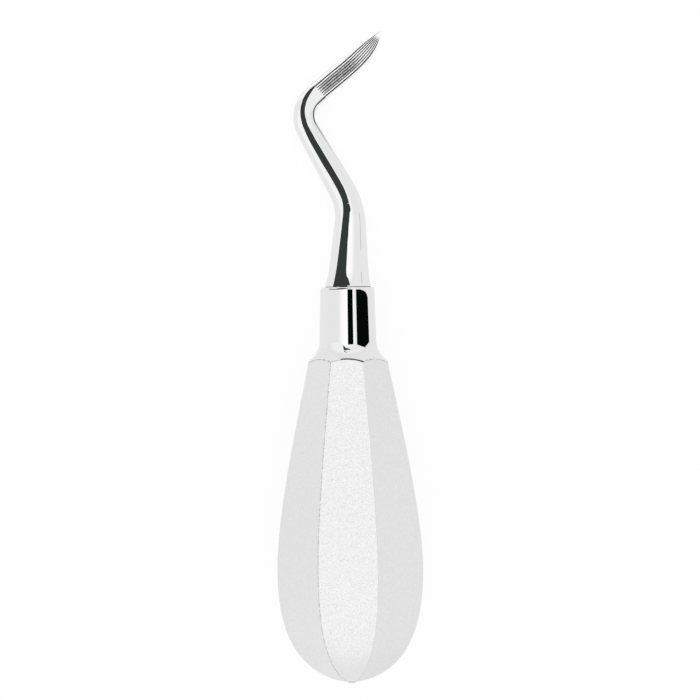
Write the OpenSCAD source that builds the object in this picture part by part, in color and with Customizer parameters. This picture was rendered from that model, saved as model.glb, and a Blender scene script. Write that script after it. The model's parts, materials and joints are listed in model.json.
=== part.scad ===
// Dental elevator: a hollow faceted pear grip with a polished round collar, and a
// forged shank bent twice that ends in a half-round blade with a serrated face.
// Each piece is drawn upright, butt at the origin, and then laid on its belly and tip.

/* [Grip] */
// Length of the grip, from the butt to the corners of the shoulder
grip_l = 73.7; // [64:0.1:90]
// Number of flat facets round the grip
grip_sides = 8; // [6:2:12]
// Width across two opposite facets at the belly
belly_across = 33.2; // [29:0.1:38]
// Height of the belly above the butt
belly_h = 26; // [22:0.5:30]
// Width across two opposite facets at the shoulder
shoulder_across = 18.1; // [17:0.1:21]
// Fullness of the round butt: how far its flat middle reaches from the axis
butt_flat = 6.6; // [5:0.1:8]
// Thickness of the grip's shell
wall = 1.2; // [0.8:0.1:1.6]
// Diameter of the vent hole in the butt
vent_d = 1.9; // [1.4:0.1:3]
// How far the vent plug stands proud of the butt
vent_proud = 0.12; // [0.05:0.01:0.4]

/* [Collar] */
// Length of the collar above the shoulder
collar_l = 17.4; // [13:0.1:24]
// Diameter of the collar at its top
collar_top_d = 12.4; // [12.2:0.1:14]
// Diameter of the collar just above its flare
collar_foot_d = 13.3; // [12.5:0.1:15]
// Angle between the flare and the axis
flare_angle = 52; // [35:1:55]
// Radius of the hollow between the flare and the side of the collar
flare_fillet = 5; // [3:0.1:6]
// Radius of the top edge of the collar
collar_edge = 0.6; // [0.3:0.05:0.8]

/* [Tang] */
// Diameter of the tang
tang_d = 6; // [4:0.1:7]
// Length of the tang in the collar
tang_l = 20; // [14:0.5:26]
// Gap between the tang and its bore, and between the vent plug and its hole
seat_gap = 0.03; // [0.02:0.01:0.06]

/* [Shank] */
// Diameter of the stem where it leaves the collar, without its foot
stem_d = 9.8; // [8:0.1:10]
// How far the foot flares out beyond the stem
foot_flare = 0.5; // [0.2:0.05:0.6]
// Height over which the foot flares
foot_h = 4; // [2:0.1:6]
// Distance of the stem from the axis at the collar
stem_shift = 0.2; // [0:0.05:0.2]
// Length of the stem, from the collar to the corner of the first bend
stem_l = 18.9; // [14:0.1:26]
// Lean of the stem away from the axis, in degrees
stem_lean = 2.4; // [0:0.1:4]
// Turn at the first bend, in degrees
bend_1 = 31.4; // [15:0.1:40]
// Radius of the first bend's centre line
bend_1_r = 16; // [8:0.5:20]
// Diameter at the first bend
bend_1_d = 6.5; // [5.5:0.1:7.5]
// Length between the corners of the two bends
reach_l = 24.9; // [20:0.1:32]
// Turn at the second bend, in degrees
bend_2 = 76.4; // [50:0.1:80]
// Radius of the second bend's centre line
bend_2_r = 6.1; // [4.5:0.1:7]
// Diameter at the second bend
bend_2_d = 5; // [4:0.1:5.5]

/* [Blade] */
// Distance from the corner of the second bend to the root of the blade
blade_start = 7; // [6.5:0.1:10]
// Length of the blade from its root to its tip
blade_l = 19.8; // [15:0.1:25]
// Width of the blade at its root
blade_w = 4.85; // [3.5:0.05:5.5]
// Depth of the half-round back at the root
back_root = 2.2; // [1.6:0.05:2.4]
// Depth of the half-round back towards the tip
back_tip = 1.3; // [0.8:0.05:1.6]
// Height of the working face above the widest line of the blade
face_h = 0.5; // [0.3:0.05:0.8]
// Depth of the hollow along the middle of the working face
face_hollow = 0.22; // [0:0.02:0.3]
// Number of serration ridges across the working face
ridges = 6; // [3:1:8]
// Share of each ridge that its flat top takes
ridge_top = 0.4; // [0.2:0.05:0.6]
// Depth of the grooves between the ridges
groove_depth = 0.14; // [0.1:0.02:0.24]

/* [Hidden] */
$fn = 64;

facet_turn = 360 / grip_sides;
belly_r = belly_across / 2;
shoulder_r = shoulder_across / 2;
shoulder_corner_r = shoulder_r / cos(facet_turn / 2);
collar_top = grip_l + collar_l;

function lerp(a, b, t) = a + (b - a) * t;
function smooth(t) = let (c = min(1, max(0, t))) c * c * (3 - 2 * c);
function dir(angle) = [cos(angle), sin(angle)];
function left_of(v) = [-v.y, v.x];
function last_of(list) = list[len(list) - 1];
function reversed(list) = [for (i = [len(list) - 1:-1:0]) list[i]];
function mirrored(list) = [for (p = reversed(list)) [-p.x, p.y]];
function bezier(p, t) =
    pow(1 - t, 3) * p[0] + 3 * pow(1 - t, 2) * t * p[1]
    + 3 * (1 - t) * t * t * p[2] + pow(t, 3) * p[3];
function curve(p, n) = [for (i = [0:n]) bezier(p, i / n)];

// The corner k between p and q, rounded with radius r: n + 1 pairs of a point and its direction.
function round_corner(p, k, q, r, n) =
    let (a = (k - p) / norm(k - p), b = (q - k) / norm(q - k))
    let (side = sign(a.x * b.y - a.y * b.x), turn = acos(a * b))
    let (start = k - a * r * tan(turn / 2), centre = start + left_of(a) * side * r)
    [for (i = [0:n])
        let (w = turn * i / n, along = a * cos(w) + left_of(a) * side * sin(w))
        [centre - left_of(along) * side * r, along]];
function points_of(pairs) = [for (q = pairs) q[0]];

// Grip

HAUNCH_STEPS = 12;
FLANK_STEPS = 14;
BUTT_STEPS = 12;
// The facets run out into the round butt at this step of the haunch
RUN_OUT = 6;

// Distance of a facet from the axis, from the belly down to the butt
function haunch(inset) = [
    [belly_r - inset, belly_h],
    [belly_r - inset, belly_h * 0.179 + inset],
    [belly_r * 0.442, belly_h * 0.022 + inset],
    [0, inset]];
// Distance of a facet from the axis, from the belly up to the shoulder
function flank(inset) = [
    [belly_r - inset, belly_h],
    [belly_r - inset, lerp(belly_h, grip_l, 0.272)],
    [lerp(shoulder_r, belly_r, 0.285) - inset, lerp(belly_h, grip_l, 0.772)],
    [shoulder_r - inset, grip_l]];

// A facet seen edge on: below its run-out and past the shoulder it goes on straight
function facet_line(inset) =
    let (low = curve(haunch(inset), HAUNCH_STEPS), high = curve(flank(inset), FLANK_STEPS))
    let (out = low[RUN_OUT], tail = (out - low[RUN_OUT - 1]) / (low[RUN_OUT - 1].y - out.y))
    let (end = last_of(high), rise = (end - high[FLANK_STEPS - 1]) / (end.y - high[FLANK_STEPS - 1].y))
    concat(
        [out + tail * (out.y + 1)],
        [for (i = [RUN_OUT:-1:1]) low[i]],
        high,
        [end + rise * 2]);

module faceted_body(inset, top) {
    side = facet_line(inset);
    outline = concat(side, [[last_of(side).x, top]]);
    intersection_for (i = [0:grip_sides / 2 - 1])
        rotate([90, 0, i * facet_turn])
            linear_extrude(height = 4 * belly_r, center = true)
                polygon(concat(outline, mirrored(outline)));
}

// The round butt goes on outwards past the corners of the facets
function butt_line(inset) = curve([
    [0, inset],
    [butt_flat - inset * 0.5, inset],
    [belly_r * 0.85 - inset, belly_h * 0.227],
    [belly_r * 1.036 - inset, belly_h * 0.54]], BUTT_STEPS);

// The flare meets the corners of the shoulder, and goes on outwards past them
module round_body() {
    side_r = collar_foot_d / 2;
    foot = [side_r, grip_l + (shoulder_corner_r - side_r) / tan(flare_angle)];
    brim = foot + [belly_r, -belly_r / tan(flare_angle)];
    edge = [collar_top_d / 2, collar_top];
    fillet = points_of(round_corner(brim, foot, edge, flare_fillet, 8));
    rim = points_of(round_corner(foot, edge, [0, collar_top], collar_edge, 5));
    butt = butt_line(0);
    rotate_extrude()
        polygon(concat(butt, [[brim.x, last_of(butt).y], brim], fillet, rim, [[0, collar_top]]));
}

// The shell is hollow up to the root of the collar, where a cone leads into the bore
module hollow() {
    bore_r = tang_d / 2 + seat_gap;
    roof = grip_l - wall;
    lip = shoulder_r - 2 * wall;
    butt = butt_line(wall);
    reach = last_of(butt);
    intersection() {
        faceted_body(wall, roof + lip);
        rotate_extrude()
            polygon(concat(butt, [
                [2 * belly_r, reach.y], [2 * belly_r, roof - 2 * belly_r + lip],
                [lip, roof], [bore_r, roof + lip - bore_r], [0, roof + lip - bore_r]]));
    }
}

module handle() {
    laid_down()
        color("gainsboro")
            difference() {
                intersection() {
                    faceted_body(0, collar_top + 1);
                    round_body();
                }
                hollow();
                translate([0, 0, grip_l - wall])
                    cylinder(r = tang_d / 2 + seat_gap, h = collar_l + 2 * wall);
                translate([0, 0, -wall])
                    cylinder(r = vent_d / 2, h = 3 * wall);
            }
}

module vent_plug() {
    laid_down()
        color("dimgray")
            translate([0, 0, -vent_proud])
                cylinder(r = vent_d / 2 - seat_gap, h = wall + vent_proud);
}

// Shank

FOOT_STEPS = 4;
BEND_1_STEPS = 8;
BEND_2_STEPS = 16;
BLADE_STEPS = 24;
BACK_STEPS = 20;
RIM_STEPS = 3;
// Shares of the blade's half width: the rounded rim, and the two outer grooves
RIM_SHARE = 0.13;
FACE_SHARE = 0.8;

stem_dir = dir(90 - stem_lean);
reach_dir = dir(90 - stem_lean + bend_1);
blade_dir = dir(90 - stem_lean + bend_1 - bend_2);
foot_at = [stem_shift, collar_top];
corner_1 = foot_at + stem_l * stem_dir;
corner_2 = corner_1 + reach_l * reach_dir;
root_at = corner_2 + blade_start * blade_dir;

// The blade's two edges, from its root to its tip
function on_blade(along, across) =
    root_at + along * blade_l * blade_dir + across * blade_w * left_of(blade_dir);
upper_edge = curve(
    [on_blade(0, 0.5), on_blade(0.33, 0.45), on_blade(0.68, 0.28), on_blade(1, 0.095)],
    BLADE_STEPS);
lower_edge = curve(
    [on_blade(0, -0.5), on_blade(0.45, -0.6), on_blade(0.78, -0.83), on_blade(0.998, 0.075)],
    BLADE_STEPS);

// The face is ground over this stretch, counted along the centre line from the second bend's corner
face_from = -2;
face_to = blade_start;

// A ring of the shank: its centre, the arm to its upper edge, the depth of its back and the
// height, hollow and grooves of its face, and how far it has turned from round (0) to blade (1)
function round_ring(at, along, r, face) =
    [at, left_of(along) * r, lerp(r, back_root, face), face_h, face_hollow, 0, face];
function blade_ring(i) =
    let (up = upper_edge[i], low = lower_edge[i], t = i / BLADE_STEPS)
    let (thin = pow(norm(up - low) / blade_w, 0.6))
    let (cut = smooth(t * 10) * (1 - smooth((t - 0.82) / 0.15)))
    [(up + low) / 2, (up - low) / 2, lerp(back_root, back_tip, t) * thin,
        face_h * thin, face_hollow * thin, groove_depth * thin * cut, 1];

// Radius of the round shank at a distance s before (below 0) or after a corner
function taper(s, before_l, before_d, corner_d, after_l, after_d) =
    (s < 0 ? lerp(corner_d, before_d, -s / before_l) : lerp(corner_d, after_d, s / after_l)) / 2;

foot_rings = [for (i = [0:FOOT_STEPS])
    let (s = foot_h * pow(i / FOOT_STEPS, 2))
    round_ring(
        foot_at + s * stem_dir, i == 0 ? [0, 1] : stem_dir,
        lerp(stem_d, bend_1_d, s / stem_l) / 2 + foot_flare * pow(1 - s / foot_h, 2), 0)];
bend_1_rings = let (line = round_corner(foot_at, corner_1, corner_2, bend_1_r, BEND_1_STEPS))
    [for (i = [0:BEND_1_STEPS])
        let (s = bend_1_r * tan(bend_1 / 2) * (2 * i / BEND_1_STEPS - 1))
        round_ring(line[i][0], line[i][1], taper(s, stem_l, stem_d, bend_1_d, reach_l, bend_2_d), 0)];
bend_2_rings = let (line = round_corner(corner_1, corner_2, root_at, bend_2_r, BEND_2_STEPS))
    [for (i = [0:BEND_2_STEPS])
        let (s = bend_2_r * tan(bend_2 / 2) * (2 * i / BEND_2_STEPS - 1))
        round_ring(
            line[i][0], line[i][1], taper(s, reach_l, bend_1_d, bend_2_d, blade_start, blade_w),
            smooth((s - face_from) / (face_to - face_from)))];
blade_rings = [for (i = [0:BLADE_STEPS]) blade_ring(i)];
rings = concat(foot_rings, bend_1_rings, bend_2_rings, blade_rings);

// The face from one edge to the other, as [share of the half width, height above the edges]:
// a rounded rim on each side, and flat-topped ridges between V grooves over a hollow
function rim(face) = [for (i = [0:RIM_STEPS])
    let (w = 90 * i / RIM_STEPS)
    [1 - RIM_SHARE * (1 - cos(w)), face * sin(w)]];
ridge_steps = [0, 0.5 - ridge_top / 2, 0.5 + ridge_top / 2];
function ridged(face, hollow, groove) = [for (i = [0:3 * ridges])
    let (u = 1 - 2 * (floor(i / 3) + ridge_steps[i % 3]) / ridges)
    [u * FACE_SHARE, face - hollow * (1 - u * u) - (i % 3 == 0 ? groove : 0)]];
function face_line(face, hollow, groove) =
    concat(rim(face), ridged(face, hollow, groove), mirrored(rim(face)));

// The points of one ring, over the face and back along the rounded back
function ring_points(ring) =
    let (half = norm(ring[1]), line = face_line(ring[3], ring[4], ring[5]), last = len(line) - 1)
    let (front = [for (i = [0:last])
        let (w = 180 * i / last, round = [cos(w), half * sin(w)])
        lerp(round, line[i], ring[6])])
    let (back = [for (i = [1:BACK_STEPS - 1])
        let (w = 180 * i / BACK_STEPS)
        [-cos(w), -ring[2] * sin(w)]])
    [for (q = concat(front, back))
        let (at = ring[0] + q.x * ring[1])
        [at.x, -q.y, at.y]];

// A closed skin over a list of rings with as many points each
module skin(loops) {
    n = len(loops[0]);
    end = len(loops) - 1;
    points = [for (loop = loops) each loop];
    ends = [mean(loops[0]), mean(loops[end])];
    sides = [for (k = [0:end - 1], i = [0:n - 1])
        let (a = k * n + i, b = k * n + (i + 1) % n)
        each [[a, a + n, b + n], [a, b + n, b]]];
    first = [for (i = [0:n - 1]) [len(points), i, (i + 1) % n]];
    last = [for (i = [0:n - 1]) [len(points) + 1, end * n + (i + 1) % n, end * n + i]];
    polyhedron(concat(points, ends), concat(sides, first, last));
}
function mean(list, i = 0, total = [0, 0, 0]) =
    i == len(list) ? total / i : mean(list, i + 1, total + list[i]);

module shank() {
    laid_down()
        color("silver")
            union() {
                skin([for (ring = rings) ring_points(ring)]);
                translate([0, 0, collar_top - tang_l])
                    cylinder(r = tang_d / 2, h = tang_l + 1);
            }
}

// At rest the tool lies on one facet of its belly and on the back of the blade's tip

belly_points = concat(curve(haunch(0), HAUNCH_STEPS), curve(flank(0), FLANK_STEPS));
blade_points = [for (ring = blade_rings) [ring[2], ring[0].y]];
lean = min([for (q = blade_points)
    max([for (p = belly_points) atan2(p.x - q.x, q.y - p.y)])]);
lift = max([for (p = belly_points) p.x * cos(lean) + p.y * sin(lean)]);

// From upright to lying, with the origin on the table below the middle of the length
module laid_down() {
    translate([0, -last_of(upper_edge).y * cos(lean) / 2, lift])
        rotate([-90 - lean, 0, 0])
            children();
}

handle();
shank();
vent_plug();
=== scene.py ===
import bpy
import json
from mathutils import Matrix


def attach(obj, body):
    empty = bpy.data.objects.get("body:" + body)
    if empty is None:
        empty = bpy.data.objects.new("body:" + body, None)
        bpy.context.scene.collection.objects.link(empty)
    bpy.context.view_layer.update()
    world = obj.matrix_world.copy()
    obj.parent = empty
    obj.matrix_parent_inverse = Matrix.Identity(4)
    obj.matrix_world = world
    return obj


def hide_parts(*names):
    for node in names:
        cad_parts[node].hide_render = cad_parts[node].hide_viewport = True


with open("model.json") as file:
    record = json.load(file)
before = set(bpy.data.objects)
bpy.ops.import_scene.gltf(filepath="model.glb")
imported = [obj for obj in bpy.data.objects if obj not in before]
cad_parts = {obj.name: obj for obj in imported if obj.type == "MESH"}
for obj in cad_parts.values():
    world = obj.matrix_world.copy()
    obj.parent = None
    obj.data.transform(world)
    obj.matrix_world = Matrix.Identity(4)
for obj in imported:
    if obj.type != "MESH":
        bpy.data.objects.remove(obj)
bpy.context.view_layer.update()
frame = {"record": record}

import json
from math import acos, cos, pi, radians, sin, tan

import bpy
from mathutils import Matrix, Vector

# The pieces are shaped upright in millimetres, butt at the origin and the side that the camera
# sees towards -Y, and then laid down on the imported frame. The collar's mount gives the axis.
MOUNT = frame["record"]["mounts"][0]
MOUNT_H = 0.086
AXIS = Vector(MOUNT["axis"]).normalized()
SIDE = Vector((1, 0, 0))
BUTT = Vector(MOUNT["pos_m"]) - AXIS * MOUNT_H
TURN = Matrix((SIDE, AXIS.cross(SIDE), AXIS)).transposed()
LAID = Matrix.Translation(BUTT) @ TURN.to_4x4() @ Matrix.Scale(0.001, 4)

# Grip and collar
GRIP_L, SIDES = 73.7, 8
BELLY_R, BELLY_H, SHOULDER_R = 16.6, 26, 9.05
COLLAR_TOP, COLLAR_TOP_R, COLLAR_FOOT_R, FLARE = 91.1, 6.2, 6.65, 52
BORE_R, BORE_DEPTH, FOOT_ROUND, TOP_ROUND, BRIM_W = 5.05, 0.6, 5, 0.6, 14
# Rounding of the facets' edges, the height where the facets run out into the butt, and the softness
# of the line between the two
EDGE_ROUND, RUN_OUT_H, BLEND = 0.3, 5.3, 0.9
# Shank: a stem, a bend, a reach, a second bend and a neck that turns into the blade
STEM_L, REACH_L, NECK_L, BLADE_L, BLADE_W = 18.9, 24.9, 7, 19.8, 4.85
STEM_D, BEND_D, NECK_D, FOOT_FLARE = 9.8, 6.5, 5, 4
LEAN, BEND_1, BEND_1_R, BEND_2, BEND_2_R = 87.6, 31.4, 16, 76.4, 6.1
BACK_ROOT, BACK_TIP, FACE_H, FACE_HOLLOW, GROOVE = 2.2, 1.3, 0.5, 0.22, 0.14
RIDGES, RIDGE_TOP, BLADE_STEPS, BACK_STEPS = 6, 0.4, 90, 44


def lerp(a, b, t):
    return a + (b - a) * t


def smooth(t):
    t = min(1, max(0, t))
    return t * t * (3 - 2 * t)


def heading(degrees):
    return Vector((cos(radians(degrees)), sin(radians(degrees))))


def left_of(v):
    return Vector((-v.y, v.x))


def curve(points, steps):
    """A Bezier curve from the first point to the last, pulled by the two between them."""
    a, b, c, d = [Vector(p) for p in points]
    out = []
    for i in range(steps + 1):
        t = i / steps
        u = 1 - t
        out.append(a * u**3 + b * 3 * u**2 * t + c * 3 * u * t * t + d * t**3)
    return out


def round_corner(p, k, q, r, steps):
    """The corner k between p and q rounded with radius r, as pairs of a point and its direction."""
    p, k, q = Vector(p), Vector(k), Vector(q)
    a, b = (k - p).normalized(), (q - k).normalized()
    side = 1 if a.x * b.y - a.y * b.x > 0 else -1
    turn = acos(max(-1, min(1, a.dot(b))))
    centre = k - a * r * tan(turn / 2) + left_of(a) * side * r
    out = []
    for i in range(steps + 1):
        w = turn * i / steps
        along = a * cos(w) + left_of(a) * side * sin(w)
        out.append((centre - left_of(along) * side * r, along))
    return out


def at_height(line, h):
    """Distance from the axis at height h, on a line that climbs."""
    for p, q in zip(line, line[1:]):
        if p.y <= h <= q.y and q.y > p.y:
            return lerp(p.x, q.x, (h - p.y) / (q.y - p.y))
    return line[-1].x


def finish_edit(angle):
    """Faces outwards, and shading that is sharp only past that angle."""
    bpy.ops.mesh.select_all(action="SELECT")
    bpy.ops.mesh.normals_make_consistent(inside=False)
    bpy.ops.object.mode_set(mode="OBJECT")
    bpy.ops.object.shade_smooth_by_angle(angle=radians(angle))


def tube(name, rings, angle=30):
    """A grid rolled up into a tube through rings of as many points each, and closed at its ends."""
    around, along = len(rings[0]), len(rings) - 1
    bpy.ops.object.select_all(action="DESELECT")
    bpy.ops.mesh.primitive_grid_add(x_subdivisions=around, y_subdivisions=along, size=1)
    piece = bpy.context.object
    piece.name = piece.data.name = name
    for v in piece.data.vertices:
        v.co = rings[round((v.co.y + 0.5) * along)][round((v.co.x + 0.5) * around) % around]
    bpy.ops.object.mode_set(mode="EDIT")
    bpy.ops.mesh.select_all(action="SELECT")
    bpy.ops.mesh.remove_doubles(threshold=1e-4)
    bpy.ops.mesh.fill_holes(sides=0)
    finish_edit(angle)
    return piece


def turned(name, profile, sides, angle=30):
    """A solid turned about the axis: a disc extruded and resized from one profile point to the next."""
    bpy.ops.object.select_all(action="DESELECT")
    r, h = profile[0]
    bpy.ops.mesh.primitive_circle_add(vertices=sides, radius=r, fill_type="NGON", location=(0, 0, h))
    piece = bpy.context.object
    piece.name = piece.data.name = name
    bpy.ops.object.transform_apply(location=True, rotation=False, scale=False)
    bpy.ops.object.mode_set(mode="EDIT")
    bpy.ops.mesh.select_all(action="SELECT")
    for r2, h2 in profile[1:]:
        bpy.ops.mesh.extrude_region_move(TRANSFORM_OT_translate={"value": (0, 0, h2 - h)})
        bpy.ops.transform.resize(value=(r2 / r, r2 / r, 1), center_override=(0, 0, h2))
        r, h = r2, h2
    finish_edit(angle)
    return piece


def apply(piece, kind, **settings):
    """One modifier, put on and made part of the mesh."""
    modifier = piece.modifiers.new(kind.title(), kind)
    for key, value in settings.items():
        setattr(modifier, key, value)
    bpy.ops.object.select_all(action="DESELECT")
    bpy.context.view_layer.objects.active = piece
    piece.select_set(True)
    bpy.ops.object.modifier_apply(modifier=modifier.name)


def put_on(piece, node):
    """A finished piece laid down in the place of its solid."""
    piece.data.transform(LAID)
    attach(piece, "root")
    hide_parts(node)


# Materials


def steel(name, colour, roughness):
    """Metal with its node tree, the shader and a position in the tool's own upright millimetres."""
    material = bpy.data.materials.new(name)
    material.use_nodes = True
    tree = material.node_tree
    shader = tree.nodes["Principled BSDF"]
    shader.inputs["Base Color"].default_value = (*colour, 1)
    shader.inputs["Metallic"].default_value = 1
    shader.inputs["Roughness"].default_value = roughness
    where = tree.nodes.new("ShaderNodeTexCoord")
    upright = tree.nodes.new("ShaderNodeMapping")
    upright.vector_type = "POINT"
    place = LAID.inverted()
    upright.inputs["Location"].default_value = place.translation
    upright.inputs["Rotation"].default_value = place.to_euler()
    upright.inputs["Scale"].default_value = (1000, 1000, 1000)
    tree.links.new(where.outputs["Object"], upright.inputs["Vector"])
    return material, tree, shader, upright.outputs["Vector"]


def noise(tree, vector, scale, detail=2):
    texture = tree.nodes.new("ShaderNodeTexNoise")
    texture.inputs["Scale"].default_value = scale
    texture.inputs["Detail"].default_value = detail
    tree.links.new(vector, texture.inputs["Vector"])
    return texture.outputs["Fac"]


def ranged(tree, value, low, high, start=0.3, end=0.7):
    """The value spread from start..end to low..high, and held at both ends."""
    spread = tree.nodes.new("ShaderNodeMapRange")
    spread.inputs["From Min"].default_value = start
    spread.inputs["From Max"].default_value = end
    spread.inputs["To Min"].default_value = low
    spread.inputs["To Max"].default_value = high
    tree.links.new(value, spread.inputs["Value"])
    return spread.outputs["Result"]


def calc(tree, operation, a, b=0.5, c=0.5):
    """One step of arithmetic, on numbers or on what other nodes give."""
    node = tree.nodes.new("ShaderNodeMath")
    node.operation = operation
    for socket, value in zip(node.inputs, (a, b, c)):
        if isinstance(value, (int, float)):
            socket.default_value = value
        else:
            tree.links.new(value, socket)
    return node.outputs[0]


def times(tree, first, *others):
    for other in others:
        first = calc(tree, "MULTIPLY", first, other)
    return first


def split(tree, vector):
    node = tree.nodes.new("ShaderNodeSeparateXYZ")
    tree.links.new(vector, node.inputs[0])
    return node.outputs


def drawn(tree, value, points):
    """A smooth line through the points, read at that value."""
    node = tree.nodes.new("ShaderNodeFloatCurve")
    (a0, a1), (b0, b1) = [(min(p), max(p)) for p in zip(*points)]
    line = node.mapping.curves[0].points
    for a, b in points[1:-1]:
        line.new((a - a0) / (a1 - a0), (b - b0) / (b1 - b0))
    line[0].location = (0, (points[0][1] - b0) / (b1 - b0))
    line[len(line) - 1].location = (1, (points[-1][1] - b0) / (b1 - b0))
    node.mapping.update()
    tree.links.new(ranged(tree, value, 0, 1, a0, a1), node.inputs["Value"])
    return ranged(tree, node.outputs["Value"], b0, b1, 0, 1)


FINE_POLISH = 0.06  # roughness of the polish that is just too rough for a mirror

# The grip: sanded facets, coarser on the middle one, with painted dark reflections along that facet's
# edges, the left one broken and the right one faint, and painted shade on the facet to its right.
satin, tree, shader, upright = steel("satin_steel", (0.86, 0.86, 0.86), 0.42)
x, y, z = split(tree, upright)
grain = noise(tree, upright, 2.2, 3)
half_facet = times(tree, y, -tan(pi / SIDES))
next_facet = times(tree, y, -tan(3 * pi / SIDES))
middle = calc(tree, "LESS_THAN", calc(tree, "ABSOLUTE", x), half_facet)
sanding = ranged(tree, noise(tree, upright, 5), -0.12, 0.12)
sanding = times(tree, sanding, middle, ranged(tree, z, 0, 1, 5, 6.5))
broken = ranged(tree, noise(tree, upright, 2), 0.2, 1, 0.4, 0.6)
# Painted dark reflections along the middle facet's edges, the left one broken by noise
left_painted_reflection = times(tree, calc(tree, "COMPARE", calc(tree, "ADD", x, half_facet), 0, 0.12),
                  calc(tree, "LESS_THAN", x, 0), broken)
right_painted_reflection = times(tree, calc(tree, "COMPARE", x, half_facet, 0.1),
                   calc(tree, "GREATER_THAN", x, 0))
# Painted shade: the facet right of the middle one a little darker
right_facet_painted_shade = times(tree, calc(tree, "GREATER_THAN", x, half_facet),
                    calc(tree, "LESS_THAN", x, next_facet))
shade = calc(tree, "ADD", ranged(tree, grain, 0.85, 0.91), sanding)
# The painted reflections and the painted shade darken the base colour
for where, change in ((left_painted_reflection, -0.4), (right_painted_reflection, -0.1), (right_facet_painted_shade, -0.03)):
    shade = calc(tree, "MULTIPLY_ADD", where, change, shade)
tree.links.new(shade, shader.inputs["Base Color"])
bump = tree.nodes.new("ShaderNodeBump")
bump.inputs["Strength"].default_value = 0.15
bump.inputs["Distance"].default_value = 0.0001
tree.links.new(grain, bump.inputs["Height"])
tree.links.new(bump.outputs["Normal"], shader.inputs["Normal"])

# The collar: a mirror polish above foot_line and inside side_line, fine polish outside them with painted
# shade that darkens it, and the seam where the facets cut the flare: a broken line, and darker on the
# facet in front.
SEAM_R, FRONT_SEAM_R = 8.72, 8.5
collar, tree, shader, upright = steel("collar_steel", (0.96, 0.96, 0.96), 0)
x, y, z = split(tree, upright)
foot_line = drawn(tree, x, [
    (-4.6, 77), (-4.2, 78.2), (-1.3, 78.2), (-0.6, 76.2), (0, 76), (0.7, 76.4), (2, 76.8), (3.6, 77),
    (4.5, 77.7), (5.1, 78.6)])
side_line = drawn(tree, z, [
    (84, 5.4), (86.9, 5.1), (88.97, 4.73), (89.9, 4.31), (90.47, 3.3), (90.8, 2)])
fine_polish_painted_shade = calc(tree, "MAXIMUM", calc(tree, "LESS_THAN", z, foot_line),
             calc(tree, "GREATER_THAN", x, side_line))
tree.links.new(times(tree, fine_polish_painted_shade, FINE_POLISH), shader.inputs["Roughness"])
front = times(tree, y, -1)
outwards = front
for side in (-1, 1):
    turned_out = times(tree, calc(tree, "MULTIPLY_ADD", x, side, front), sin(pi / 4))
    outwards = calc(tree, "MAXIMUM", outwards, turned_out)
seam = times(tree, calc(tree, "GREATER_THAN", outwards, SEAM_R),
             ranged(tree, noise(tree, upright, 3, 1), 0, 1, 0.4, 0.5))
front_seam = times(tree, calc(tree, "GREATER_THAN", front, FRONT_SEAM_R),
                   calc(tree, "COMPARE", x, 1.2, 2.6))
# Painted shade: the fine-polish zone darker than the mirror
shade = calc(tree, "MULTIPLY_ADD", fine_polish_painted_shade, -0.1, 0.96)
shade = calc(tree, "MULTIPLY_ADD", seam, -0.5, shade)
shade = times(tree, shade, calc(tree, "MULTIPLY_ADD", front_seam, -0.8, 1))
tree.links.new(shade, shader.inputs["Base Color"])

# The vent plug: dull steel.
dull, tree, shader, upright = steel("plug_steel", (0.3, 0.3, 0.3), 0.5)
tree.links.new(ranged(tree, noise(tree, upright, 3), 0.4, 0.6), shader.inputs["Roughness"])

# Grip: facets that follow the flank and the haunch, cut at the butt by a rounder profile

flank = curve(
    [(BELLY_R, BELLY_H), (BELLY_R, lerp(BELLY_H, GRIP_L, 0.272)),
     (lerp(SHOULDER_R, BELLY_R, 0.285), lerp(BELLY_H, GRIP_L, 0.772)), (SHOULDER_R, GRIP_L)], 60)
haunch = curve(
    [(0, 0), (BELLY_R * 0.442, BELLY_H * 0.022), (BELLY_R, BELLY_H * 0.179), (BELLY_R, BELLY_H)], 60)
butt = curve(
    [(0, 0), (6.6, 0), (BELLY_R * 0.85, BELLY_H * 0.227), (BELLY_R * 1.036, BELLY_H * 0.54)], 40)
facet = [p for p in haunch if p.y > RUN_OUT_H]
slope = (facet[1] - facet[0]) / (facet[1].y - facet[0].y)
facet = [facet[0] - slope * (facet[0].y + 1)] + facet + flank[1:]
facet.append(facet[-1] + (flank[-1] - flank[-2]) * 2)
facet.append(Vector((facet[-1].x, 96)))


def octagon(distance, limit):
    """A ring of the grip: flat sides at that distance with rounded corners, kept within a radius."""
    out = []
    half = (distance - EDGE_ROUND) * tan(pi / SIDES)
    for i in range(SIDES):
        turn = Matrix.Rotation(i * 2 * pi / SIDES - pi / 2, 2)
        side = [Vector((distance, half * k / 4)) for k in range(-4, 5)]
        middle = Vector((distance - EDGE_ROUND, half))
        corner = [middle + EDGE_ROUND * heading(45 * k / 4) for k in range(1, 4)]
        for p in side + corner:
            p = turn @ p
            near = max(BLEND - abs(p.length - limit), 0) / BLEND
            out.append(p * ((min(p.length, limit) - near * near * BLEND / 4) / p.length))
    return out


# Each ring's height and the butt's radius there, or UNCUT_R where the facets are whole
VENT_R, RING_STEP, UNCUT_R = 0.9, 0.7, 99
levels = [(0.02, VENT_R)] + [(p.y, p.x) for p in butt[1:]]
h = butt[-1].y
while h < 95:
    h += RING_STEP
    levels.append((h, UNCUT_R))
grip_rings = []
for h, limit in levels:
    grip_rings.append([(p.x, p.y, h) for p in octagon(at_height(facet, h), limit)])
handle = tube("handle_steel", grip_rings)
handle.data.materials.append(satin)

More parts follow.
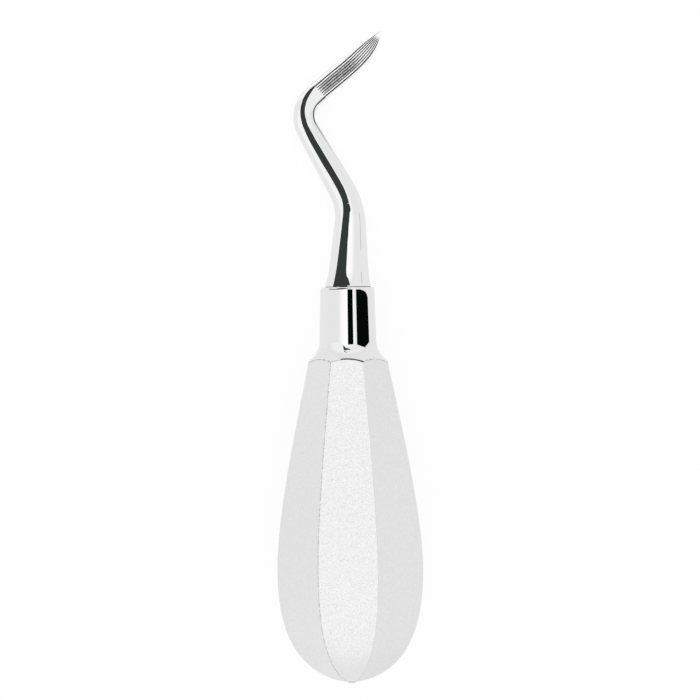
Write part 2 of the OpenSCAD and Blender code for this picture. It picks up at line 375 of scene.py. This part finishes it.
# The collar and its flare, turned as one profile that the faceted grip is cut with
corner_r = SHOULDER_R / cos(pi / SIDES)
foot = Vector((COLLAR_FOOT_R, GRIP_L + (corner_r - COLLAR_FOOT_R) / tan(radians(FLARE))))
brim = foot + Vector((BRIM_W, -BRIM_W / tan(radians(FLARE))))
edge = Vector((COLLAR_TOP_R, COLLAR_TOP))
profile = [(brim.x, -2), tuple(brim)]
profile += [tuple(q[0]) for q in round_corner(brim, foot, edge, FOOT_ROUND, 12)]
profile += [tuple(q[0]) for q in round_corner(foot, edge, (0, COLLAR_TOP), TOP_ROUND, 8)]
profile += [(BORE_R, COLLAR_TOP), (BORE_R, COLLAR_TOP - BORE_DEPTH)]
cutter = turned("cutter", profile, 160)
cutter.data.materials.append(collar)
apply(handle, "BOOLEAN", object=cutter, operation="INTERSECT", solver="EXACT", material_mode="TRANSFER")
bpy.data.objects.remove(cutter)
apply(handle, "WEIGHTED_NORMAL", keep_sharp=True)

# Shank

stem_dir, reach_dir = heading(LEAN), heading(LEAN + BEND_1)
blade_dir = heading(LEAN + BEND_1 - BEND_2)
foot_at = Vector((0.2, COLLAR_TOP))
corner_1 = foot_at + stem_dir * STEM_L
corner_2 = corner_1 + reach_dir * REACH_L
root_at = corner_2 + blade_dir * NECK_L


def on_blade(along, across):
    """A point of the blade's plan, in shares of its length and of its width."""
    return root_at + blade_dir * along * BLADE_L + left_of(blade_dir) * across * BLADE_W


def face_line(face, hollow, groove, top):
    """The blade's face from edge to edge: a rounded rim, flat ridges between V grooves, a rim."""
    rim = []
    for i in range(6):
        w = pi / 2 * i / 5
        rim.append(Vector((1 - 0.13 * (1 - cos(w)), face * sin(w))))
    teeth = []
    for i in range(10 * RIDGES + 1):
        u = 1 - i / (5 * RIDGES)
        depth = max(0, abs(i % 10 - 5) / 5 - RIDGE_TOP) / (1 - RIDGE_TOP)
        height = face - hollow * (1 - u * u) - groove * depth
        teeth.append(Vector((lerp(-0.78, top, u / 2 + 0.5), height)))
    far_rim = [Vector((-p.x, p.y)) for p in reversed(rim)]
    return rim + [Vector((top + 0.08, face))] + teeth + [Vector((-0.84, face))] + far_rim


def section(at, arm, back, face, hollow, groove, turn, top=0.62):
    """A ring of the shank, from round (turn 0) to blade (turn 1)."""
    half = arm.length
    line = face_line(face, hollow, groove, top)
    points = []
    for i, q in enumerate(line):
        w = pi * i / (len(line) - 1)
        points.append(Vector((cos(w), half * sin(w))).lerp(q, turn))
    for i in range(1, BACK_STEPS):
        w = pi * i / BACK_STEPS
        points.append(Vector((-cos(w), -back * sin(w))))
    return [(at.x + q.x * arm.x, -q.y, at.y + q.x * arm.y) for q in points]


def round_ring(at, along, r, turn=0):
    return section(at, left_of(along) * r, lerp(r, BACK_ROOT, turn), FACE_H, FACE_HOLLOW, 0, turn)


def on_stem(s):
    """The shank's radius before and after the first bend, s from its corner."""
    return (lerp(BEND_D, STEM_D, -s / STEM_L) if s < 0 else lerp(BEND_D, NECK_D, s / REACH_L)) / 2


def on_neck(s):
    """The same for the second bend."""
    return (lerp(NECK_D, BEND_D, -s / REACH_L) if s < 0 else lerp(NECK_D, BLADE_W, s / NECK_L)) / 2


def to_blade(s):
    """How far the section has turned from round to blade, s from the second bend's corner."""
    return smooth((s + 2) / 9)


UP = Vector((0, 1))
rings = [round_ring(foot_at - UP * 0.9, UP, 4.9),
         round_ring(foot_at - UP * 0.02, UP, 4.95),
         round_ring(foot_at + UP * 0.06, UP, 5.25)]
for i in range(17):
    s = FOOT_FLARE * (i / 16) ** 1.5
    r = lerp(STEM_D, BEND_D, s / STEM_L) / 2 + 0.5 * (1 - s / FOOT_FLARE) ** 2
    along = UP.lerp(stem_dir, smooth(s / 0.5))
    rings.append(round_ring(foot_at + stem_dir * (0.12 + s * 0.97), along, r))
half_1 = BEND_1_R * tan(radians(BEND_1) / 2)
half_2 = BEND_2_R * tan(radians(BEND_2) / 2)
for i in range(1, 12):
    s = lerp(FOOT_FLARE, STEM_L - half_1, i / 12)
    rings.append(round_ring(foot_at + stem_dir * s, stem_dir, on_stem(s - STEM_L)))
for i, (at, along) in enumerate(round_corner(foot_at, corner_1, corner_2, BEND_1_R, 20)):
    rings.append(round_ring(at, along, on_stem(half_1 * (i / 10 - 1))))
for i in range(1, 16):
    s = lerp(half_1, REACH_L - half_2, i / 16)
    rings.append(round_ring(corner_1 + reach_dir * s, reach_dir, on_stem(s), to_blade(s - REACH_L)))
for i, (at, along) in enumerate(round_corner(corner_1, corner_2, root_at, BEND_2_R, 36)):
    s = half_2 * (i / 18 - 1)
    rings.append(round_ring(at, along, on_neck(s), to_blade(s)))
for i in range(1, 8):
    s = lerp(half_2, NECK_L, i / 8)
    rings.append(round_ring(corner_2 + blade_dir * s, blade_dir, on_neck(s), to_blade(s)))
blade_from = len(rings)
upper = curve([on_blade(0, 0.5), on_blade(0.33, 0.45), on_blade(0.68, 0.28), on_blade(1, 0.095)],
              BLADE_STEPS)
lower = curve([on_blade(0, -0.5), on_blade(0.45, -0.6), on_blade(0.78, -0.83), on_blade(0.998, 0.075)],
              BLADE_STEPS)
for i, (up, low) in enumerate(zip(upper, lower)):
    t = i / BLADE_STEPS
    thin = ((up - low).length / BLADE_W) ** 0.6
    cut = smooth(t * 10) * (1 - smooth((t - 0.82) / 0.15))
    top = lerp(0.6, 0.82, smooth((t - 0.35) / 0.5))
    rings.append(section((up + low) / 2, (up - low) / 2, lerp(BACK_ROOT, BACK_TIP, t) * thin,
                         FACE_H * thin, FACE_HOLLOW * thin, GROOVE * thin * cut, 1, top))
shank = tube("shank_steel", rings, 35)


def along_and_across(tree):
    """From the unrolled skin: the share of the blade's length, and grooves counted across its face,
    from 0 at its upper edge to 6 at its lower one."""
    where = tree.nodes.new("ShaderNodeUVMap")
    where.uv_map = shank.data.uv_layers[0].name
    around, along, _ = split(tree, where.outputs["UV"])
    share = calc(tree, "MULTIPLY_ADD", along, (len(rings) - 1) / BLADE_STEPS, -blade_from / BLADE_STEPS)
    return share, calc(tree, "MULTIPLY_ADD", around, len(rings[0]) / 10, -0.7)


# The shank: a mirror polish to the right of left_edge, and near the second bend to the left of
# right_edge too, fine polish outside them with painted shade there, and a painted dark reflection:
# a thin line that runs on from the blade's lowest groove round the inside of that bend.
mirror, tree, shader, upright = steel("polished_steel", (0.96, 0.96, 0.96), 0)
x, _, z = split(tree, upright)
left_edge = drawn(tree, z, [
    (91, -3.26), (92.85, -2.81), (95.61, -2.3), (97.69, -2), (100.69, -1.58), (103.68, -1.2),
    (106.45, -0.87), (108.53, -0.66), (110.38, -0.76), (112.23, -1.34), (114.55, -2.46), (121.52, -6.42),
    (127.32, -9.35), (129.41, -10.05), (131.5, -10.32), (133.57, -10.08), (134.95, -9.56),
    (136.32, -8.66), (137.69, -7.1), (139.4, -4.8)])
right_edge = drawn(tree, z, [
    (124, -6.2), (127.32, -8.01), (129.41, -8.83), (131.5, -9.27), (133.57, -9.01), (134.95, -8.48),
    (136.32, -7.69), (137.69, -6.63), (139.4, -4.8)])
beside = calc(tree, "LESS_THAN", x, left_edge)
ragged_z = calc(tree, "MULTIPLY_ADD", noise(tree, upright, 6, 1), 5, z)
past = times(tree, calc(tree, "GREATER_THAN", x, right_edge),
             calc(tree, "GREATER_THAN", ragged_z, 130))
fine_polish_painted_shade = calc(tree, "MAXIMUM", beside, past)
tree.links.new(times(tree, fine_polish_painted_shade, FINE_POLISH), shader.inputs["Roughness"])
# Painted shade: the fine-polish zones beside and past the mirror darker
shade = calc(tree, "MULTIPLY_ADD", beside, -0.06, 0.96)
shade = calc(tree, "MULTIPLY_ADD", past, -0.11, shade)
share, across = along_and_across(tree)
# Painted dark reflection: a thin line round the inside of the second bend
inner_painted_reflection = times(tree, calc(tree, "COMPARE", across, ranged(tree, share, 5.55, 5.98, -0.25, 0), 0.26),
                   ranged(tree, share, 0, 1, -0.58, -0.46))
shade = times(tree, shade, calc(tree, "MULTIPLY_ADD", inner_painted_reflection, -0.9, 1))
tree.links.new(shade, shader.inputs["Base Color"])

# The blade: painted shade in its grooves, the outermost ones and those near the tip wider, and ridges
# with their tops grey and mottled along the middle.
blade, tree, shader, upright = steel("serrated_steel", (0.95, 0.95, 0.95), 0.14)
share, across = along_and_across(tree)
on_face = calc(tree, "COMPARE", across, 3.02, 3.1)
wander = calc(tree, "SUBTRACT", noise(tree, upright, 1.2), 0.5)
across = calc(tree, "ADD", across, times(tree, wander, 0.3))
from_middle = calc(tree, "ABSOLUTE", calc(tree, "SUBTRACT", across, RIDGES / 2))
outermost = calc(tree, "GREATER_THAN", from_middle, 2.5)
wide = calc(tree, "MAXIMUM", outermost, ranged(tree, share, 0, 1, 0.6, 0.9))
from_groove = calc(tree, "MULTIPLY_ADD", wide, -0.12, calc(tree, "PINGPONG", across, 0.5))
before_tip = calc(tree, "MAXIMUM", ranged(tree, share, 1, 0, 0.86, 0.92),
                  calc(tree, "LESS_THAN", across, 0.5))
# Painted shade darkens the grooves
groove = times(tree, ranged(tree, from_groove, 1, 0, 0.14, 0.26), on_face, before_tip)
# Greyer, mottled middle of the face over the part nearer the root
grey_middle = times(tree, calc(tree, "COMPARE", across, 2.9, 1.9), ranged(tree, share, 1, 0, 0.4, 0.62),
             ranged(tree, share, 0, 1, 0, 0.05),
             ranged(tree, noise(tree, upright, 2.5), 0.55, 1, 0.4, 0.6))
shade = times(tree, calc(tree, "MULTIPLY_ADD", grey_middle, -0.6, 0.95),
              calc(tree, "MULTIPLY_ADD", groove, -0.92, 1))
tree.links.new(shade, shader.inputs["Base Color"])

shank.data.materials.append(mirror)
shank.data.materials.append(blade)
skin = shank.data.uv_layers[0].data
for face in shank.data.polygons:
    along = sum(skin[i].uv.y for i in face.loop_indices) / face.loop_total
    face.material_index = 1 if along * (len(rings) - 1) > blade_from else 0

# Vent plug, slightly crowned

plug = turned("vent_plug_steel",
              [(0.92, 1.2), (0.92, 0), (0.86, -0.07), (0.7, -0.11), (0.3, -0.125)], 32)
plug.data.materials.append(dull)

put_on(handle, "handle")
put_on(shank, "shank")
put_on(plug, "vent_plug")

# Floor, world and the cards that the polished steel mirrors


def ray_share(tree, camera, glossy, mirrored=0):
    """That much for camera rays and for reflections and refractions, and none for other light.
    What a full mirror shows is changed by the last number."""
    ray = tree.nodes.new("ShaderNodeLightPath").outputs
    total = times(tree, ray["Is Camera Ray"], camera)
    total = calc(tree, "MULTIPLY_ADD", ray["Is Glossy Ray"], glossy, total)
    total = calc(tree, "MULTIPLY_ADD", ray["Is Transmission Ray"], glossy, total)
    return calc(tree, "MULTIPLY_ADD", ray["Is Singular Ray"], mirrored, total)


bpy.ops.object.select_all(action="DESELECT")
bpy.ops.mesh.primitive_plane_add(size=6)
floor = bpy.context.object
floor.name = "floor"
paper = bpy.data.materials.new("floor")
paper.use_nodes = True
tree = paper.node_tree
tree.nodes.remove(tree.nodes["Principled BSDF"])
diffuse = tree.nodes.new("ShaderNodeBsdfDiffuse")
diffuse.inputs["Color"].default_value = (0.95, 0.95, 0.95, 1)
light = tree.nodes.new("ShaderNodeEmission")
tree.links.new(ray_share(tree, 1.02, 0.9, -0.07), light.inputs["Strength"])
mix = tree.nodes.new("ShaderNodeMixShader")
tree.links.new(ray_share(tree, 0.85, 1), mix.inputs[0])
tree.links.new(diffuse.outputs[0], mix.inputs[1])
tree.links.new(light.outputs[0], mix.inputs[2])
tree.links.new(mix.outputs[0], tree.nodes["Material Output"].inputs["Surface"])
floor.data.materials.append(paper)

world = bpy.data.worlds.new("studio")
bpy.context.scene.world = world
world.use_nodes = True
tree = world.node_tree
sky = tree.nodes["Background"]
sky.inputs["Color"].default_value = (1, 1, 1, 1)
where = tree.nodes.new("ShaderNodeTexCoord").outputs["Generated"]
over_grip = tree.nodes.new("ShaderNodeVectorMath")
over_grip.operation = "DOT_PRODUCT"
over_grip.inputs[1].default_value = TURN @ Vector((0, -1, 0))
tree.links.new(where, over_grip.inputs[0])
choice = tree.nodes.new("ShaderNodeMix")
tree.links.new(tree.nodes.new("ShaderNodeLightPath").outputs["Is Singular Ray"], choice.inputs[0])
tree.links.new(ranged(tree, split(tree, where)[2], 0.85, 1, 0, 0.4), choice.inputs[2])
tree.links.new(ranged(tree, over_grip.outputs["Value"], 0.82, 1.04, 0.79, 0.985), choice.inputs[3])
tree.links.new(choice.outputs[0], sky.inputs["Strength"])


def card(name, place, outline, colour):
    """A card beside or over the object that shows only in its mirror polish.
    Place is ("x", distance) for a standing card with outline points (along the tool, above the
    axis), or ("over", height) for a level one with outline points (to the side, along the tool)."""
    bpy.ops.object.select_all(action="DESELECT")
    bpy.ops.mesh.primitive_circle_add(vertices=len(outline), fill_type="NGON")
    sheet = bpy.context.object
    sheet.name = name
    for v, (a, b) in zip(sheet.data.vertices, outline):
        v.co = LAID @ Vector((place[1], -b, a) if place[0] == "x" else (a, -place[1], b))
    material = bpy.data.materials.new(name)
    material.use_nodes = True
    tree = material.node_tree
    tree.nodes.remove(tree.nodes["Principled BSDF"])
    ray = tree.nodes.new("ShaderNodeLightPath")
    clear = tree.nodes.new("ShaderNodeBsdfTransparent")
    glow = tree.nodes.new("ShaderNodeEmission")
    glow.inputs["Color"].default_value = (*colour, 1)
    mix = tree.nodes.new("ShaderNodeMixShader")
    tree.links.new(ray.outputs["Is Singular Ray"], mix.inputs[0])
    tree.links.new(clear.outputs[0], mix.inputs[1])
    tree.links.new(glow.outputs[0], mix.inputs[2])
    tree.links.new(mix.outputs[0], tree.nodes["Material Output"].inputs["Surface"])
    sheet.data.materials.append(material)
    sheet.visible_camera = sheet.visible_diffuse = sheet.visible_shadow = False
    sheet.visible_transmission = sheet.visible_volume_scatter = False


DARK, BLACK, GREY = (0.036, 0.042, 0.04), (0.001, 0.003, 0.002), (0.5, 0.5, 0.5)
card("card_collar_side", ("x", 40), [(78, -1), (97, -1), (97, 53), (78, 53)], BLACK)
card("card_collar_over", ("over", 100), [(3, 84), (43, 84), (43, 110), (3, 110)], BLACK)
card("card_collar_far", ("over", 100), [(78, 80), (300, 80), (300, 102), (78, 102)], BLACK)
card("card_near", ("over", 25), [
    (-16.2, 108.2), (-15.2, 109.5), (-15.8, 111), (-21, 113), (-25, 117), (-32, 122), (-34, 130),
    (-36, 138), (-38, 147), (-40, 155), (-42, 163), (-40, 174), (-20, 174), (-10, 168),
    (-6.8, 163.5), (-1.5, 156.2), (-1.5, 142), (-0.5, 131.2), (1, 130), (5.5, 125.8), (7.2, 122.8),
    (7, 119.2), (6, 114), (-1, 112), (-3.5, 108.5), (-4, 105), (-4, 102), (-4.5, 99.5),
    (-11.2, 102.2)], DARK)
card("card_mid", ("over", 60), [
    (-119, 121.5), (-103.3, 119), (-83.5, 116), (-64, 113), (-48.5, 110.8), (-36, 107.8), (-26.7, 105.5),
    (-19.7, 104.5), (-14.8, 105.2), (-11.5, 108), (-10, 113), (-7.5, 114.2), (-6.5, 117), (1.8, 119.5),
    (4.2, 122.2), (9.5, 126), (13.5, 131.5), (12, 136), (0, 134), (-7.8, 133), (-20, 132.2), (-35, 132.8),
    (-52.5, 132.5), (-71.2, 132), (-89.2, 132), (-104.2, 131), (-114.8, 128.5), (-120, 125.3)], DARK)
card("card_left_low", ("x", -120), [
    (120.8, 58), (119.5, 32.5), (119, 32), (120, 37), (123, 40.5), (122, 46), (126, 52), (129, 58.2),
    (130.5, 62.5)], DARK)
card("card_left_high", ("x", -120), [
    (135, 65), (132, 51.5), (131, 38), (130.2, 31), (130, 26), (134.8, 21.2), (145, 16.5), (157.5, 20.5),
    (163.5, 41.2), (152.8, 62)], DARK)
card("card_patch", ("x", -30), [
    (100.3, 9.3), (101.5, 8.3), (103, 8), (103.8, 9), (103.8, 13.5), (101, 13.5), (100.3, 11)], DARK)
card("card_foot", ("over", 40), [
    (-107, 142.2), (-100.8, 134.8), (-91, 128.8), (-80, 124.5), (-67.5, 121.5), (-53.5, 119),
    (-37.5, 117), (-26.8, 118.5), (-25.5, 122.2), (-30.2, 126), (-41.2, 128.5), (-55.2, 132),
    (-69.8, 140), (-83.8, 149.2), (-96, 155), (-104.8, 155), (-108.5, 149.8)], DARK)
card("card_back_wall", ("x", -130), [(104, 12), (175, 12), (175, 95), (104, 95)], DARK)
card("card_back_over", ("over", 92), [
    (-128, 100), (-40, 100), (-25, 122), (-15, 135), (-5, 150), (-5, 175), (-128, 175)], DARK)
card("card_streak", ("x", 120), [(112, 14), (140, 14), (140, 24), (112, 24)], GREY)

# Camera: far away, looking nearly straight down on the middle facet

YAW, ROLL, FAR, VIEW_W = 2, 0.66, 1.5, 0.16154
back = TURN @ Vector((sin(radians(YAW)), -cos(radians(YAW)), 0))
level = AXIS.cross(back)
right = level * cos(radians(ROLL)) - AXIS * sin(radians(ROLL))
up = AXIS * cos(radians(ROLL)) + level * sin(radians(ROLL))
aim = LAID @ Vector((0.44, 0, 76.6))
camera = bpy.data.objects.new("camera", bpy.data.cameras.new("camera"))
bpy.context.scene.collection.objects.link(camera)
camera.data.sensor_width = 36
camera.data.lens = camera.data.sensor_width * FAR / VIEW_W
camera.data.clip_start, camera.data.clip_end = 0.05, 20
turn = Matrix((right, up, back)).transposed().to_4x4()
camera.matrix_world = Matrix.Translation(aim + back * FAR) @ turn
bpy.context.scene.camera = camera
bpy.context.scene.view_settings.view_transform = "Standard"
